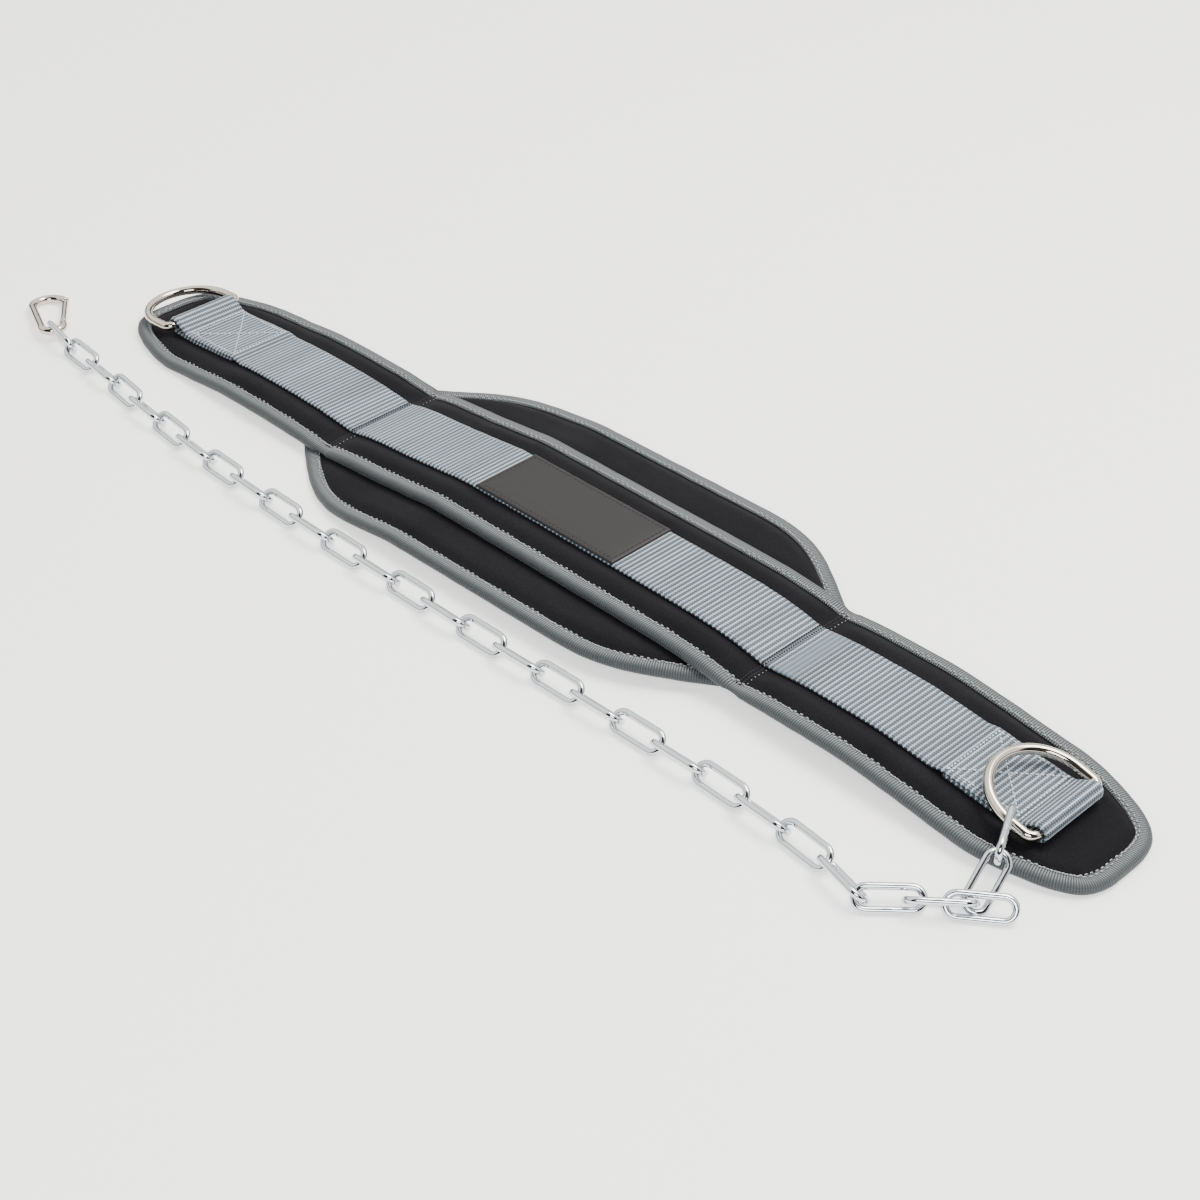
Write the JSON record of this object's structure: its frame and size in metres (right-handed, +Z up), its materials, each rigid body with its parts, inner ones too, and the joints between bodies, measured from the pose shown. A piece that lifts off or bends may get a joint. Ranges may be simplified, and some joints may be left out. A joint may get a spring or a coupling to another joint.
{
  "type": "dip belt",
  "caption": "Soft black dip belt with a wide back pad, grey bound edges, ribbed webbing, a D-ring in each end and a steel chain with a snap hook, laid out on the floor.",
  "frame": {"origin": "middle of the whole footprint, on the floor", "axes": "+X along the belt to the end whose ring holds the chain, +Y away from the chain, +Z up from the floor"},
  "size_m": [0.8852, 0.2222, 0.0298],
  "materials": {
    "foam": "matte knit over foam, near black",
    "binding": "matte ribbed tape",
    "webbing": "ribbed woven webbing, slight sheen",
    "label": "smooth matte patch, bare",
    "ring": "bright nickel plate",
    "link": "bright zinc plate",
    "hook": "bright nickel plate"
  },
  "bodies": {
    "belt": {"back_pad": "foam", "back_pad_binding": "binding", "main_belt": "foam", "main_belt_binding": "binding", "webbing_strap": "webbing", "label_patch": "label", "right_ring": "ring", "link_01": "link", "link_02": "link", "link_03": "link", "link_04": "link", "link_05": "link", "link_06": "link", "link_07": "link", "link_08": "link", "link_09": "link", "link_10": "link", "link_11": "link", "link_12": "link", "link_13": "link", "link_14": "link", "link_15": "link", "link_16": "link", "link_17": "link", "link_18": "link", "link_19": "link", "link_20": "link", "link_21": "link", "link_22": "link", "link_23": "link", "link_24": "link", "link_25": "link", "link_26": "link", "link_27": "link", "link_28": "link", "link_29": "link", "link_30": "link", "snap_hook": "hook"},
    "left_ring": {"left_ring": "ring"},
    "gate": {"hook_gate": "hook"}
  },
  "joints": [
    {"name": "left_ring_swing", "type": "hinge", "parent": "belt", "child": "left_ring", "pos_m": [-0.32836, 0.0129, 0.01384], "axis": [0, 1, 0], "range_deg": [0, 170]},
    {"name": "gate_hinge", "type": "hinge", "parent": "belt", "child": "gate", "pos_m": [-0.39747, -0.05671, 0.00641], "axis": [-0.0695, 0.04, 0.9968], "range_deg": [0, 25], "stiffness_Nm_per_rad": 0.05, "springref_deg": -17.19}
  ]
}
